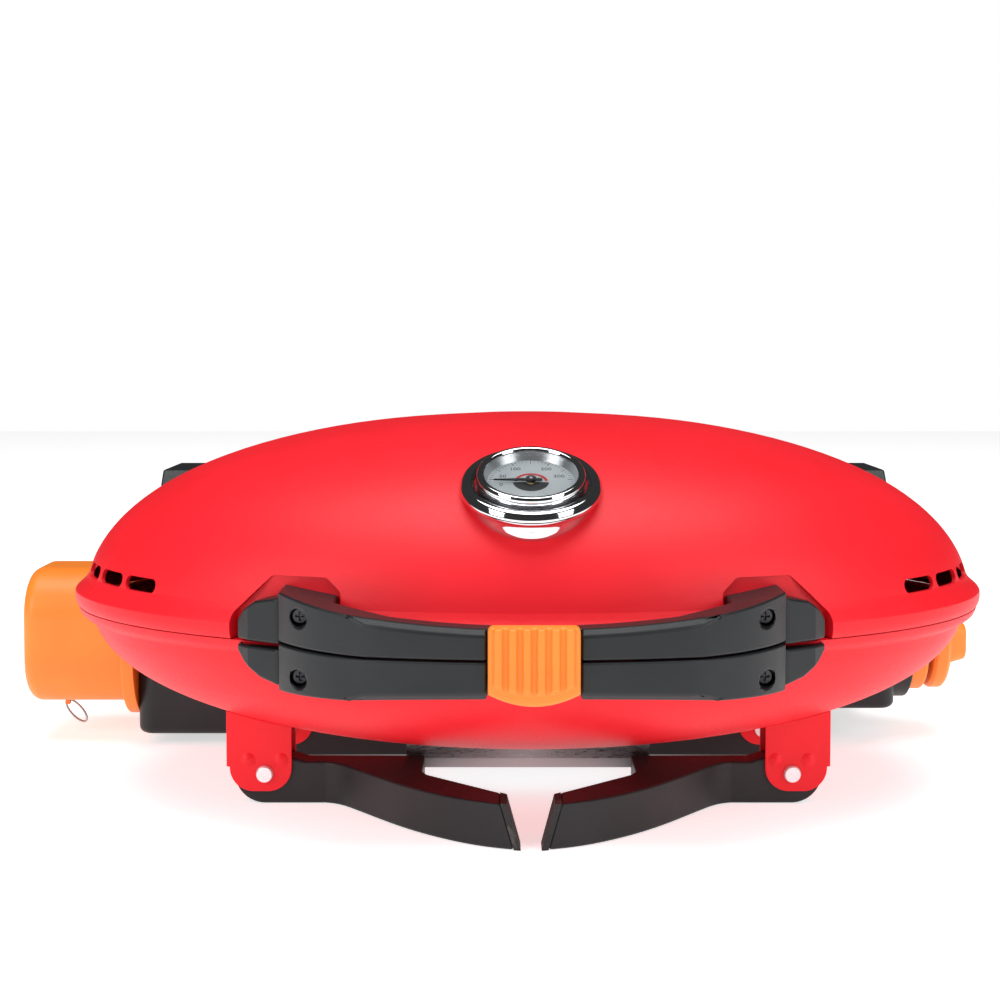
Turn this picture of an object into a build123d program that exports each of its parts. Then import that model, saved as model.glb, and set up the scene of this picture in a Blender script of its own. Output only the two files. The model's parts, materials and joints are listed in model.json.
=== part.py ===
from build123d import *
import math
import os

# Portable oval gas grill, closed, standing on its four folded legs.
# Millimetres. X to the right, Y to the back, Z up.
# The origin is on the table under the centre of the firebox.

# Driving sizes of the two shells
PARTING = 121.0          # height where the lid meets the firebox
LID_RISE = 123.0
BOWL_DEPTH = 91.0
RIM_HALF_WIDTH = 297.5
RIM_HALF_DEPTH = 200.0
LID_HALF_WIDTH = 291.0
BOWL_HALF_WIDTH = 287.0
LID_POWER = 2.2          # superellipse powers of the two side profiles
BOWL_POWER = 2.1
WALL = 2.4
RIM_GAP = 0.3            # each rim stops this far from the parting plane
BEAD_TOP = 20.0          # height where the rim flares out of the dome
PLAN_RATIO = RIM_HALF_DEPTH / RIM_HALF_WIDTH
CURVE_STEPS = 6
CROWN = 30.0             # radius of the flat spot at the pole of each shell

# Lid hinge
HINGE_Y = 212.0
HINGE_Z = PARTING + 4.0
HINGE_X = 100.0
PIN_RADIUS = 2.5

# Front handle
HANDLE_FRONT = 250.0
HANDLE_HALF_WIDTH = 141.0
GRIP_DEPTH = 21.0
SPLIT = PARTING + 3.6
POCKET_X = 140.0
POCKET_HALF_WIDTH = 31.0
POCKET_TOP = 37.0
SCREW_X = 128.0
LID_SCREW_Z = PARTING + 20.0
BASE_SCREW_Z = PARTING - 13.5
SCREW_HOLE = 2.2
LATCH_HALF_WIDTH = 24.3
LATCH_PIVOT_Y = -240.0
LATCH_PIVOT_Z = PARTING - 8.0

# Thermometer
GAUGE_Y = -150.0
GAUGE_TILT = 25.0
GAUGE_RING = 41.5
GAUGE_LIFT = 0.8         # the gauge's frame stands this far over the lid
GAUGE_SEAT = 0.5         # the case is let into the lid down to this height in that frame
CASE_RADIUS = 31.5

# Legs
PIVOT_X = 166.0
PIVOT_Z = PARTING - 101.5
HEEL_RADIUS = PIVOT_Z
LEG_TOP = 26.5
HEEL_FRONT = 70.4
HEEL_BACK = 51.6
LEG_SPLAY = 16.5
TIP = -6.0               # X of the sole of a folded left leg
SOLE = 4.0
SHEET = 2.0

# Gas side and rear
CARTRIDGE_Y = 128.0
CARTRIDGE_Z = PARTING - 45.0
KNOB_Z = PARTING - 50.0
HOUSING_INNER = 140.0
HOUSING_BACK = 225.0
HOUSING_FRONT = 80.0
HOUSING_TOP = PARTING - 14.0
HOUSING_WALL = 3.0
FLANGE_X = 279.0         # outer face of the left housing, where the flange sits
CAP_MOUTH = -289.0
CAP_END = -361.0
CAP_HALF = 49.0
CAP_CORNER = 34.0
CAP_WALL = 3.0
LOOP_X = -340.0
LOOP_DROP = 54.2         # the pin of the pull ring is this far under the cap's axis
WIRE_RADIUS = 0.8
EYE_PIN_RADIUS = 0.7
RIGHT_OUTER = 267.0
COLLAR_X = 281.0
KNOB_X = 297.0           # inner face of the knob
STAND_OUTER = 271.0
STAND_THICK = 23.0
STAND_TOP = PARTING + 73.0
SWING_CLEARANCE = 96.0   # radius round the lid hinge that the rear stands keep clear
PIPE_Y = 206.0
PIPE_RADIUS = 4.0

# Burner and grates
BURNER_Z = PARTING - 50.0
BURNER_Y = 118.0
BURNER_RADIUS = 9.0
MOUTH_X = 221.0          # open end of the burner, facing the jet
IGNITER_X = 150.0
IGNITER_Y = 98.0
GRATE_TOP = PARTING - 18.0
GRATE_THICK = 8.0

# Drip tray
TRAY_HALF_LENGTH = 75.0
TRAY_HALF_WIDTH = 40.0
TRAY_TOP = PARTING - 93.5
TRAY_BOTTOM = PARTING - 106.0

RUNNING = 0.05           # radial clearance of every turning pin


# ---------------------------------------------------------------- shells

def width_share(height_share, power):
    """Share of the full radius that a superelliptic shell keeps at a share of its height."""
    return (1 - height_share ** power) ** (1 / power)


def shell_levels(half_width, rise, power, foot):
    """Half widths and heights of a superelliptic shell, from its small flat crown to its foot."""
    high = math.acos((CROWN / half_width) ** (power / 2))
    low = math.asin((foot / rise) ** (power / 2))
    levels = []
    for step in range(CURVE_STEPS + 1):
        turn = high + (low - high) * step / CURVE_STEPS
        radius = half_width * math.cos(turn) ** (2 / power)
        levels.append((radius, rise * math.sin(turn) ** (2 / power)))
    return levels


def oval_loft(levels, side, shrink):
    """Smooth oval solid through half widths and distances from the parting plane."""
    ovals = []
    for half_width, distance in levels:
        oval = Ellipse(half_width - shrink, half_width * PLAN_RATIO - shrink)
        ovals.append(Pos(0, 0, PARTING + side * distance) * oval)
    return loft(ovals)


def lid_form(shrink, open_foot):
    """Filled dome, flare and bead of the lid, drawn in by a wall thickness or by none."""
    dome = shell_levels(LID_HALF_WIDTH, LID_RISE - shrink, LID_POWER, BEAD_TOP)
    rim = RIM_HALF_WIDTH
    flare = [dome[-1], (rim - 7.3, 17.0), (rim - 4.5, 14.0), (rim - 1.4, 11.4), (rim, 9.5)]
    bead = [(rim, 9.5), (rim + 0.1, 5.0), (rim - 0.6, 2.2), (rim - 1.8, RIM_GAP)]
    band = [(rim - 1.8, RIM_GAP), (rim - 1.8, -1)]
    form = oval_loft(dome, 1, shrink) + oval_loft(flare, 1, shrink) + oval_loft(bead, 1, shrink)
    return form + oval_loft(band, 1, shrink) if open_foot else form


def bowl_form():
    """Filled outer shape of the firebox, with its curled rim."""
    wall = shell_levels(BOWL_HALF_WIDTH, BOWL_DEPTH, BOWL_POWER, 10.0)
    foot, depth = wall[-1]
    rim = RIM_HALF_WIDTH - 1.8
    curl = [(foot, depth), (foot + 2.5, 8.4), (rim - 3, 6.0), (rim - 0.8, 3.0), (rim, RIM_GAP)]
    return oval_loft(wall, -1, 0) + oval_loft(curl, -1, 0)


def bowl_cavity():
    """The inside of the firebox, filled up to its rim."""
    inner = shell_levels(BOWL_HALF_WIDTH, BOWL_DEPTH - WALL, BOWL_POWER, RIM_GAP)
    return oval_loft(inner, -1, WALL)


def round_y(radius, start, end, x, z):
    """Round bar along Y."""
    return extrude(Plane.XZ * Pos(x, z) * Circle(radius), amount=-(end - start)).moved(Pos(0, start, 0))


def round_x(radius, start, end, y, z):
    """Round bar along X."""
    return extrude(Plane.YZ * Pos(y, z) * Circle(radius), amount=end - start).moved(Pos(start, 0, 0))


def slab(x_low, x_high, y_low, y_high, z_low, z_high):
    """Box between two corners."""
    box = Box(x_high - x_low, y_high - y_low, z_high - z_low)
    return Pos((x_low + x_high) / 2, (y_low + y_high) / 2, (z_low + z_high) / 2) * box


def both_sides(shape):
    """A shape and its mirror image across the grill's middle."""
    return shape + mirror(shape, Plane.YZ)


LID = lid_form(0, False)
BOWL = bowl_form()
CAVITY = bowl_cavity()


def pocket_place():
    """Frame on the right front rim where a handle foot meets the shells, X along the rim, Y inwards."""
    rim_y = -RIM_HALF_DEPTH * math.sqrt(1 - (POCKET_X / RIM_HALF_WIDTH) ** 2)
    turn = math.atan2(POCKET_X / RIM_HALF_WIDTH ** 2, -rim_y / RIM_HALF_DEPTH ** 2)
    return Pos(POCKET_X, rim_y, PARTING) * Rot(0, 0, math.degrees(turn))


def pocket_block(grow):
    """Arch-topped block that a handle pocket takes out of the right front of the lid."""
    half = POCKET_HALF_WIDTH + grow
    top = POCKET_TOP + grow
    outline = Polyline((-half, -2), (-half, top - 8), (-half + 10, top), (half - 18, top),
                       (half + 5, 15 + grow), (half + 5, -2), close=True)
    face = make_face(outline)
    corners = [v for v in face.vertices() if v.Y > 0]
    arch = extrude(Plane.XZ * fillet(corners, 5), amount=50)
    return pocket_place() * Pos(0, 12.5 + grow, 0) * arch


def vent_slots():
    """Rounded slots above the bead at both ends of the lid."""
    height = 24.0
    half_width = LID_HALF_WIDTH * width_share(height / LID_RISE, LID_POWER)
    half_depth = half_width * PLAN_RATIO
    slots = []
    for end in (0, 180):
        for degrees in (-35.0, -25.8, -15.8, -5.3, 5.3, 15.8, 25.8, 35.0):
            turn = math.radians(end + degrees)
            x = half_width * math.cos(turn)
            y = half_depth * math.sin(turn)
            facing = math.degrees(math.atan2(y / half_depth ** 2, x / half_width ** 2))
            slot = extrude(Plane.YZ * SlotOverall(31, 8.5), amount=36)
            slots.append(Pos(x, y, PARTING + height) * Rot(0, 0, facing) * Pos(-18, 0, 0) * slot)
    return slots


def screw_hole(x, z, start, end):
    return round_y(SCREW_HOLE, start, end, x, z)


def lid_shell():
    shell = LID - lid_form(WALL, True)
    pocket = pocket_block(0)
    liner = (pocket_block(WALL) - pocket) & LID
    shell -= [pocket, mirror(pocket, Plane.YZ)]
    shell += [liner, mirror(liner, Plane.YZ)]
    holes = vent_slots()
    holes.append(gauge_plane() * Cylinder(5.4, 40))
    holes.append(gauge_plane() * Pos(0, 0, 10 + GAUGE_SEAT) * Cylinder(CASE_RADIUS + 0.3, 20))
    for side in (-1, 1):
        holes.append(screw_hole(side * SCREW_X, LID_SCREW_Z, -200, -140))
        holes.append(screw_hole(side * HINGE_X, PARTING + 52, 120, 200))
    return shell - holes


def base_bowl():
    holes = [round_x(BURNER_RADIUS, 100, 240, BURNER_Y, BURNER_Z)]
    holes.append(Pos(0, 0, PARTING - BOWL_DEPTH) * Cylinder(7, 20))
    holes.append(Pos(IGNITER_X, IGNITER_Y, PARTING - 62) * Cylinder(4, 40))
    for side in (-1, 1):
        holes.append(screw_hole(side * SCREW_X, BASE_SCREW_Z, -200, -140))
        holes.append(screw_hole(side * HINGE_X, PARTING - 33, 140, 200))
    return BOWL - CAVITY - holes


# ---------------------------------------------------------------- cooking

def cooking_grate(side):
    """Half of the cast grate: an oval rim, bars front to back and one cross bar."""
    share = width_share((PARTING - GRATE_TOP + GRATE_THICK) / BOWL_DEPTH, BOWL_POWER)
    half_width = (BOWL_HALF_WIDTH - WALL) * share - 5
    half_depth = half_width * PLAN_RATIO
    plate = Ellipse(half_width, half_depth)
    half = Pos(side * (1.5 + half_width / 2), 0) * Rectangle(half_width, 2 * half_depth + 2)
    rim = plate - Ellipse(half_width - 7, half_depth - 7)
    pitch = 15.5
    bars = [Pos(side * 4.5, 0) * Rectangle(6, 2 * half_depth)]
    for step in range(1, int(half_width / pitch)):
        bars.append(Pos(side * (4.5 + step * pitch), 0) * Rectangle(5, 2 * half_depth))
    bars.append(Rectangle(2 * half_width, 8))
    outline = (rim + bars) & plate & half
    return Pos(0, 0, GRATE_TOP - GRATE_THICK) * extrude(outline, GRATE_THICK)


def grate_rests():
    """Lugs on the firebox wall under the rims of the two grates."""
    z = GRATE_TOP - GRATE_THICK - 3
    lugs = []
    for degrees in (20, 65, 115, 160, 200, 245, 295, 340):
        turn = math.radians(degrees)
        x = BOWL_HALF_WIDTH * math.cos(turn)
        y = BOWL_HALF_WIDTH * PLAN_RATIO * math.sin(turn)
        lugs.append(Pos(0.95 * x, 0.95 * y, z) * Rot(0, 0, degrees) * Box(36, 14, 6))
    return Part() + lugs & CAVITY


def burner_tube():
    """U-shaped tube burner whose flared mouth stands in the right housing."""
    far = -140.0
    path = FilletPolyline((MOUTH_X, BURNER_Y), (far, BURNER_Y), (far, -90), (150, -90), radius=60)
    route = Pos(0, 0, BURNER_Z) * path
    start = Plane(origin=route @ 0, z_dir=route % 0)
    ring = Circle(BURNER_RADIUS) - Circle(BURNER_RADIUS - 1.5)
    tube = sweep(start * ring, path=route)
    cap = round_x(BURNER_RADIUS, 150, 152, -90, BURNER_Z)
    mouth = round_x(13, MOUTH_X - 18, MOUTH_X, BURNER_Y, BURNER_Z)
    windows = Pos(MOUTH_X - 9, BURNER_Y, BURNER_Z) * Box(9, 10, 40)
    bore = round_x(BURNER_RADIUS - 1.5, MOUTH_X - 20, MOUTH_X + 1, BURNER_Y, BURNER_Z)
    return tube + cap + mouth - windows - bore


def burner_brackets():
    """Upright straps from the firebox floor that carry the burner at its bend and its end."""
    holders = []
    for x, y in ((120, -90), (-60, -90), (-60, BURNER_Y)):
        strap = slab(x - 1, x + 1, y - 14, y + 14, PARTING - 95, BURNER_Z + 13)
        holders.append(strap - round_x(BURNER_RADIUS, x - 3, x + 3, y, BURNER_Z))
    return Part() + holders & CAVITY


def igniter_insulator():
    """Ceramic sleeve through the firebox wall beside the burner."""
    sleeve = Pos(IGNITER_X, IGNITER_Y, PARTING - 63) * Cylinder(4, 22)
    return sleeve - Pos(IGNITER_X, IGNITER_Y, PARTING - 63) * Cylinder(1.2, 30)


def igniter_pin():
    """Spark electrode, bent over towards the burner."""
    route = FilletPolyline((IGNITER_X, IGNITER_Y, PARTING - 72), (IGNITER_X, IGNITER_Y, BURNER_Z + 6),
                           (IGNITER_X, IGNITER_Y + 8, BURNER_Z + 6), radius=3)
    return sweep(Plane(origin=route @ 0, z_dir=route % 0) * Circle(1.2), path=route)


def ignition_wire():
    """Lead from the electrode to the spark unit under the valve, held inside the right housing."""
    points = [(IGNITER_X, IGNITER_Y, PARTING - 74), (IGNITER_X, IGNITER_Y, PARTING - 86),
              (182, 104, PARTING - 85), (212, 126, PARTING - 72), (235.6, CARTRIDGE_Y, KNOB_Z - 20)]
    route = FilletPolyline(*points, radius=[5, 40, 25])
    return sweep(Plane(origin=route @ 0, z_dir=route % 0) * Circle(1.3), path=route)


def drip_tray():
    """Pressed tray that slides sideways out from under the firebox."""
    half_length = TRAY_HALF_LENGTH
    half_width = TRAY_HALF_WIDTH
    body = slab(-half_length, half_length, -half_width, half_width, TRAY_BOTTOM, TRAY_TOP)
    hollow = slab(-half_length + 1.2, half_length - 1.2, -half_width + 1.2, half_width - 1.2,
                  TRAY_BOTTOM + 1.2, TRAY_TOP + 1)
    rim = slab(-half_length, half_length, -half_width - 6.5, half_width + 6.5, TRAY_TOP - 1.4, TRAY_TOP)
    mouth = slab(-half_length + 1.2, half_length - 1.2, -half_width + 1.2, half_width - 1.2,
                 TRAY_TOP - 3, TRAY_TOP + 1)
    tab = slab(half_length, half_length + 16, -15, 15, TRAY_TOP - 1.4, TRAY_TOP)
    edges = body.edges().filter_by(Axis.Z)
    return fillet(edges, 8) - fillet(hollow.edges().filter_by(Axis.Z), 7) + (rim - mouth) + tab


def tray_rails():
    """Two folded rails that carry the tray's side flanges."""
    web = slab(-78, 78, 47.2, 48.7, TRAY_TOP - 4.2, PARTING - 60)
    lip = slab(-78, 78, 42.0, 48.7, TRAY_TOP - 4.2, TRAY_TOP - 2.7)
    rail = (web + lip) - BOWL
    return rail + mirror(rail, Plane.XZ)


# ---------------------------------------------------------------- legs (built for front left)

def leg_plan():
    """Plan of a folded leg: a straight heel, a wide web and an arm that sweeps forward to the middle."""
    heel_end = -PIVOT_X - HEEL_RADIUS
    front = Spline((-128, -HEEL_FRONT), (-111, -83), (-81, -119.5), (-54, -145.5), (-29, -162), (TIP, -170),
                   tangents=[(1, -0.25), (1, -0.25)])
    tip = Line((TIP, -170), (TIP, -153))
    back = Polyline((TIP, -153), (-62, -101), (-66, -92), (-66, -HEEL_BACK - 0.4), (-134, -HEEL_BACK))
    heel = Polyline((-134, -HEEL_BACK), (heel_end, -HEEL_BACK), (heel_end, -HEEL_FRONT),
                    (-128, -HEEL_FRONT))
    return make_face([front, tip, back, heel])


def leg_side():
    """Front view of a folded leg: a round heel on the pivot and a sloped tip that becomes the sole."""
    centre_x = -PIVOT_X
    tip_top = TIP - SOLE - LEG_TOP * math.tan(math.radians(LEG_SPLAY))
    bottom = (centre_x, 0)
    cut = math.sqrt(HEEL_RADIUS ** 2 - 100)
    heel = ThreePointArc(bottom, (centre_x - HEEL_RADIUS, PIVOT_Z), (centre_x - cut, PIVOT_Z + 10))
    top = Polyline((centre_x - cut, PIVOT_Z + 10), (-150, PIVOT_Z + 10), (-140, LEG_TOP),
                   (tip_top, LEG_TOP), (TIP - SOLE, 0), bottom)
    return make_face([heel, top])


def leg():
    blank = extrude(leg_plan(), LEG_TOP + 4) & extrude(Plane.XZ * leg_side(), amount=200)
    pivot = round_y(4 + RUNNING, -90, -30, -PIVOT_X, PIVOT_Z)
    return blank - pivot


def foot_pad():
    """Rubber sole on the sloped tip of a leg."""
    slope = math.tan(math.radians(LEG_SPLAY))
    lean = LEG_TOP * slope
    outline = Polyline((TIP - SOLE, 0), (TIP, 0), (TIP - lean, LEG_TOP),
                       (TIP - SOLE - lean, LEG_TOP), close=True)
    pad = extrude(Plane.XZ * make_face(outline), amount=200)
    return pad & extrude(leg_plan(), LEG_TOP + 1)


def leg_bracket():
    """Folded sheet bracket: two cheeks either side of the heel, joined by an outer wall."""
    inner = -149.0
    outer = -188.0
    low = PARTING - 112.7
    high = PARTING - 30
    blank = Pos((inner + outer) / 2, (low + high) / 2) * Rectangle(inner - outer, high - low)
    cheek = fillet(blank.vertices().group_by(Axis.Y)[0], 15)
    front = extrude(Plane.XZ * cheek, amount=SHEET)
    front_y = -HEEL_FRONT - 0.6
    back_y = -HEEL_BACK + 0.6 + SHEET
    cheeks = front.moved(Pos(0, front_y, 0)) + front.moved(Pos(0, back_y, 0))
    wall = slab(outer - SHEET, outer, front_y - SHEET, back_y, PARTING - 97, high)
    hole = round_y(4, -90, -30, -PIVOT_X, PIVOT_Z)
    return cheeks + wall - hole - BOWL


def leg_rivet():
    """Shouldered pivot rivet with a domed head on both ends."""
    front = -HEEL_FRONT - 0.6 - SHEET
    back = -HEEL_BACK + 0.6 + SHEET
    shaft = round_y(4, front - 0.1, back + 0.1, -PIVOT_X, PIVOT_Z)
    dome = Pos(-PIVOT_X, front, PIVOT_Z) * Sphere(5.5)
    dome -= Pos(-PIVOT_X, front + 10, PIVOT_Z) * Box(20, 20, 20)
    head = dome & Pos(-PIVOT_X, front, PIVOT_Z) * Box(20, 5.6, 20)
    tail = round_y(5.5, back, back + 1.6, -PIVOT_X, PIVOT_Z)
    return shaft + head + tail


def at_corner(shape, side, end):
    """Move a front-left piece to the given corner."""
    if side == "right":
        shape = mirror(shape, Plane.YZ)
    if end == "rear":
        shape = mirror(shape, Plane.XZ)
    return shape


# ---------------------------------------------------------------- handle and latch

def grip_plan():
    """Plan of the bowed grip with an end block at each side."""
    front = HANDLE_FRONT
    back = front - GRIP_DEPTH
    end = HANDLE_HALF_WIDTH
    block = 110.0
    right_front = [ThreePointArc((90, -front + 10), (119, -front + 29.5), (end, -front + 57)),
                   Line((end, -front + 57), (end, -140)), Line((end, -140), (block, -140)),
                   Line((block, -140), (block, -200)), Line((block, -200), (84, -back + 9.5))]
    left_front = [mirror(edge, Plane.YZ) for edge in right_front]
    outer = ThreePointArc((-90, -front + 10), (0, -front), (90, -front + 10))
    inner = ThreePointArc((-84, -back + 9.5), (0, -back), (84, -back + 9.5))
    return make_face([outer, inner] + right_front + left_front)


def grip_band(middle, ends, split):
    """Front view between the split line and a bowed edge."""
    half = HANDLE_HALF_WIDTH + 5
    bow = ThreePointArc((-half, ends), (0, middle), (half, ends))
    sides = Polyline((half, ends), (half, split), (-half, split), (-half, ends))
    return extrude(Plane.XZ * make_face([bow, sides]), amount=280)


def screw_recesses(z):
    """Clearance holes and head recesses for the two grip screws."""
    cuts = []
    for side in (-1, 1):
        cuts.append(round_y(SCREW_HOLE, -260, -140, side * SCREW_X, z))
        cuts.append(round_y(5.0, -260, -199, side * SCREW_X, z))
    return cuts


def soften(shape, rest, size):
    """Round the long front edge of a grip that lies away from the split line."""
    front = [e for e in shape.edges() if e.center().Y < -225 and abs(e.center().Z - SPLIT) > rest]
    front = [e for e in front if e.length > 40]
    return chamfer(front, size)


def lid_handle():
    grip = extrude(grip_plan(), 300) & grip_band(PARTING + 20, PARTING + 33, SPLIT + 0.5)
    grip = soften(grip, 6, 3.5)
    half = LATCH_HALF_WIDTH + 0.7
    notch = slab(-half, half, -260, -243.5, PARTING, PARTING + 50)
    liner = pocket_block(0)
    pockets = liner + mirror(liner, Plane.YZ)
    grip -= LID - pockets
    return grip - [notch] - screw_recesses(LID_SCREW_Z)


def base_handle():
    grip = extrude(grip_plan(), 300) & grip_band(PARTING - 17, PARTING - 24, SPLIT - 0.5)
    grip = soften(grip, 6, 3.5)
    half = LATCH_HALF_WIDTH + 0.7
    notch = slab(-half, half, -260, -245.6, PARTING - 13, PARTING + 10)
    well = slab(-half, half, -260, -236, PARTING - 40, PARTING - 12.5)
    ear_slots = []
    for side in (-1, 1):
        middle = side * 16.5
        ear_slots.append(slab(middle - 3.2, middle + 3.2, -260, -234, PARTING - 30, PARTING - 1.5))
    ear_slots.append(slab(-9, 9, -260, -235, PARTING - 30, PARTING - 3))
    rim = Pos(0, 0, PARTING - 1.2) * extrude(Ellipse(RIM_HALF_WIDTH + 1.5, RIM_HALF_DEPTH + 1.5), 20)
    pin = round_x(1.6, -23, 23, LATCH_PIVOT_Y, LATCH_PIVOT_Z)
    return grip - [notch, well, rim, pin] - ear_slots - screw_recesses(BASE_SCREW_Z) - BOWL


def wing(front_view):
    """End wing of a grip: a wedge in the pocket that fairs the grip into the rim."""
    plan = Polyline((-8, 12.4), (POCKET_HALF_WIDTH - 1, 12.4), (POCKET_HALF_WIDTH - 1, 0),
                    (20, -6), (0.4, -11), (-8, -11), close=True)
    tall = Pos(0, 0, -40) * extrude(make_face(plan), 80)
    seen = Pos(0, 20, 0) * extrude(Plane.XZ * make_face(Polyline(*front_view, close=True)), amount=60)
    return pocket_place() * (tall & seen) - slab(0, HANDLE_HALF_WIDTH + 0.02, -300, 0, 0, 300)


def lid_handle_wings():
    blank = wing([(-8, 1.5), (31, 1.5), (31, 11), (25, 18.5), (15, 24.5), (-8, 29)])
    fitting = pocket_block(-0.02) + slab(0, 300, -300, -180, 0, 300)
    return both_sides(blank & fitting)


def base_handle_wings():
    blank = wing([(-8, -1.5), (31, -1.5), (31, -4.5), (24, -11.5), (12, -18.5), (-8, -23.5)])
    return both_sides(blank - BOWL)


def grip_screw(x, z, seat, tip):
    """Pan-head screw that enters from the front."""
    screw = round_y(4.2, seat - 3, seat, x, z) + round_y(2.0, seat, tip, x, z)
    for long, short in ((2.4, 0.5), (0.5, 2.4)):
        screw -= slab(x - long, x + long, seat - 4, seat - 1.4, z - short, z + short)
    return screw


def handle_screws(z):
    return both_sides(grip_screw(SCREW_X, z, -199, -158))


def latch():
    """Ribbed rocker over the front of both grips, with two ears on the pivot pin."""
    half = LATCH_HALF_WIDTH
    top = PARTING + 22.7
    bottom = PARTING - 19.5
    side_view = Polyline((-247, bottom), (-247, top - 4), (-244.2, top - 4), (-244.2, top), (-251, top),
                         (-254, top - 3), (-254, bottom + 2), (-252, bottom), close=True)
    plate = extrude(Plane.YZ * make_face(side_view), amount=half, both=True)
    lobe = ThreePointArc((-half, bottom + 6.4), (0, bottom), (half, bottom + 6.4))
    rest = Polyline((half, bottom + 6.4), (half, top - 3), (half - 3, top), (3 - half, top),
                    (-half, top - 3), (-half, bottom + 6.4))
    plate &= extrude(Plane.XZ * make_face([lobe, rest]), amount=280)
    ribs = []
    for step in range(6):
        rib = Pos((step - 2.5) * 7.5, -253.0, bottom + 8) * extrude(Circle(2.1), top - bottom - 10)
        ribs.append(fillet(rib.edges(), 1.2))
    ears = []
    for side in (-1, 1):
        centre = side * 16.5
        ear = round_x(4.4, centre - 2.5, centre + 2.5, LATCH_PIVOT_Y, LATCH_PIVOT_Z)
        arm = slab(centre - 2.5, centre + 2.5, -248, LATCH_PIVOT_Y, LATCH_PIVOT_Z - 4, LATCH_PIVOT_Z + 4)
        ears.append(ear + arm)
    bore = round_x(1.6 + RUNNING, -30, 30, LATCH_PIVOT_Y, LATCH_PIVOT_Z)
    return plate + ribs + ears - bore


def latch_pin():
    return round_x(1.6, -23, 23, LATCH_PIVOT_Y, LATCH_PIVOT_Z)


def latch_spring():
    """Return spring wound round the pivot pin between the ears."""
    coil = Helix(pitch=1.8, height=14, radius=2.9, direction=(1, 0, 0))
    coil = coil.moved(Location((-7, LATCH_PIVOT_Y, LATCH_PIVOT_Z)))
    start = Plane(origin=coil @ 0, z_dir=coil % 0)
    return sweep(start * Circle(0.6), path=coil)


# ---------------------------------------------------------------- thermometer

def gauge_plane():
    """Frame of the thermometer on the front of the lid, Z outwards."""
    share = GAUGE_Y / (LID_HALF_WIDTH * PLAN_RATIO)
    height = LID_RISE * width_share(abs(share), LID_POWER)
    return Pos(0, GAUGE_Y, PARTING + height + GAUGE_LIFT) * Rot(GAUGE_TILT, 0, 0)


def turned(points):
    """Turn a closed outline given as radius and height."""
    return revolve(Plane.XZ * make_face(Polyline(*points, close=True)), Axis.Z)


def thermometer_ring():
    ring = turned([(33, -12), (GAUGE_RING, -12), (GAUGE_RING, 1.0), (GAUGE_RING - 1.5, 2.2), (34, 4.6),
                   (33, 4.2)])
    return gauge_plane() * ring - LID


def thermometer_case():
    """Cup with a threaded stem and a probe that reaches into the lid."""
    foot = GAUGE_SEAT + 0.1
    cup = turned([(0, foot), (CASE_RADIUS, foot), (CASE_RADIUS, 8.0), (29, 8.0), (29, 2.6), (0, 2.6)])
    stem = Pos(0, 0, -6.5) * Cylinder(5, 14.5)
    probe = Pos(0, 0, -36) * Cylinder(3, 46)
    return gauge_plane() * (cup + stem + probe)


def thermometer_nut():
    nut = Pos(0, 0, -11) * extrude(RegularPolygon(9, 6) - Circle(5), 5)
    return gauge_plane() * nut


def thermometer_bezel():
    ring = turned([(29.2, 8.0), (31.5, 8.0), (31.5, 10.0), (30.2, 11.4), (28, 11.4), (26.6, 10.2),
                   (26.6, 9.5), (29.2, 9.5)])
    return gauge_plane() * ring


def thermometer_dial():
    """Face plate with the post that the needle turns on."""
    return gauge_plane() * (Pos(0, 0, 3.1) * Cylinder(28.8, 1.0) + Pos(0, 0, 4.9) * Cylinder(0.9, 3.8))


def thermometer_lens():
    return gauge_plane() * Pos(0, 0, 8.75) * Cylinder(29.1, 1.4)


def thermometer_needle():
    blade = Polyline((-21.5, -0.35), (-21.5, 0.35), (0, 1.3), (6.5, 1.0), (6.5, -1.0), (0, -1.3),
                     close=True)
    pointer = Pos(0, 0, 5.0) * extrude(make_face(blade), 0.7)
    hub = Pos(0, 0, 5.6) * Cylinder(3, 1.8)
    return gauge_plane() * (pointer + hub - Pos(0, 0, 5) * Cylinder(0.9 + RUNNING, 8))


# ---------------------------------------------------------------- lid hinges

def hinge_leaf(points, knuckles, hole):
    """Leaf extruded along X with knuckles round the hinge axis."""
    plate = extrude(Plane.YZ * make_face(Polyline(*points, close=True)), amount=24)
    leaf = plate.moved(Pos(HINGE_X - 12, 0, 0))
    leaf -= round_x(7, HINGE_X - 14, HINGE_X + 14, HINGE_Y, HINGE_Z)
    for low, high in knuckles:
        knuckle = round_x(5, HINGE_X + low, HINGE_X + high, HINGE_Y, HINGE_Z)
        web = extrude(Plane.YZ * make_face(Polyline(*points, close=True)), amount=high - low)
        leaf += knuckle + web.moved(Pos(HINGE_X + low, 0, 0))
    return leaf - round_x(hole, HINGE_X - 14, HINGE_X + 14, HINGE_Y, HINGE_Z)


def lid_hinge_leaves():
    level = PARTING
    points = [(150, level + 62), (171, level + 62), (174, level + 43), (215.5, level + 7.5), (209, level),
              (196, level + 18), (186, level + 29), (150, level + 29)]
    leaf = hinge_leaf(points, [(-12, -5), (5, 12)], PIN_RADIUS + RUNNING)
    leaf -= [screw_hole(HINGE_X, level + 52, 140, 200), LID]
    return both_sides(leaf)


def base_hinge_leaves():
    level = PARTING
    points = [(150, level - 43), (176, level - 43), (179, level - 24), (216, level + 1), (209, level + 8),
              (193, level - 11), (150, level - 11)]
    leaf = hinge_leaf(points, [(-4.6, 4.6)], PIN_RADIUS)
    leaf -= [screw_hole(HINGE_X, level - 33, 140, 200), BOWL]
    return both_sides(leaf)


def hinge_pins():
    return both_sides(round_x(PIN_RADIUS, HINGE_X - 13.5, HINGE_X + 13.5, HINGE_Y, HINGE_Z))


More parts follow.
